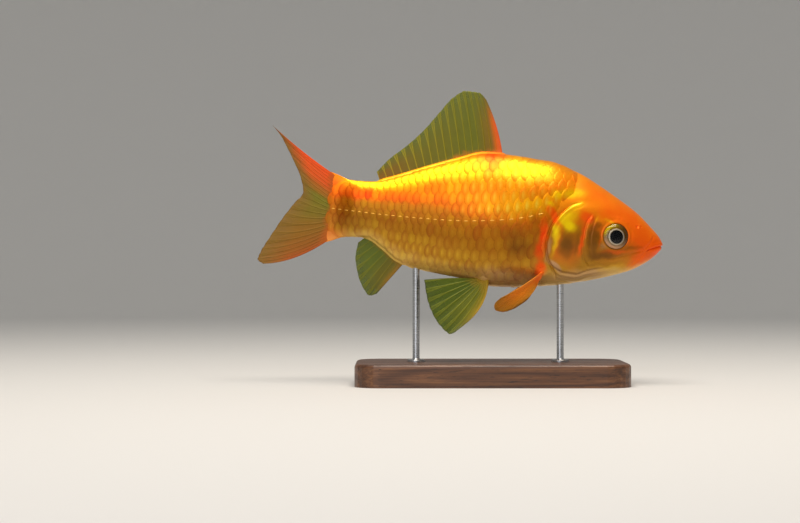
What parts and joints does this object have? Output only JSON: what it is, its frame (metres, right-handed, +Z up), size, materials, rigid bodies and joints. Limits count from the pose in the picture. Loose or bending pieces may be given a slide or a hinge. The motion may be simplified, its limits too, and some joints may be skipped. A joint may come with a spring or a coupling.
{
  "type": "goldfish model",
  "caption": "Life-size still model of a common goldfish, fins spread, nose a little down, held level over a plain flat wooden base by slim upright rods.",
  "frame": {"origin": "on the surface that the base stands on, under the middle of the whole part's box", "axes": "+X the way the fish faces, +Y towards the fish's left, +Z up; the fish's long axis is tilted nose down by 6.7 degrees about Y"},
  "size_m": [0.1432, 0.046, 0.104],
  "materials": {
    "head_skin": "smooth wet orange-red skin over bone, satin to glossy",
    "lip_skin": "soft orange skin of the lips and chin, satin",
    "throat_skin": "pale pinkish skin under the gills, satin",
    "gill_cover": "smooth bony plate with a golden metallic sheen",
    "flank": "overlapping golden-orange scales with a metallic gloss",
    "eye": "clear domed cornea over a golden iris and a black pupil",
    "fin": "thin translucent amber web over fine forked rays",
    "base_wood": "oiled walnut, satin, eased edges",
    "rod_steel": "drawn stainless rod, lightly brushed"
  },
  "bodies": {
    "root": {"head": "head_skin", "upper_lip": "lip_skin", "lower_jaw": "lip_skin", "throat": "throat_skin", "gill_cover_left": "gill_cover", "gill_cover_right": "gill_cover", "trunk": "flank", "tail_stalk": "flank", "eye_left": "eye", "eye_right": "eye", "dorsal_fin": "fin", "anal_fin": "fin", "tail_fin_upper_lobe": "fin", "tail_fin_lower_lobe": "fin", "pelvic_fin_left": "fin", "pelvic_fin_right": "fin", "pectoral_fin_left": "fin", "pectoral_fin_right": "fin", "stand_base": "base_wood", "stand_rod_front": "rod_steel", "stand_rod_rear": "rod_steel"}
  },
  "joints": []
}
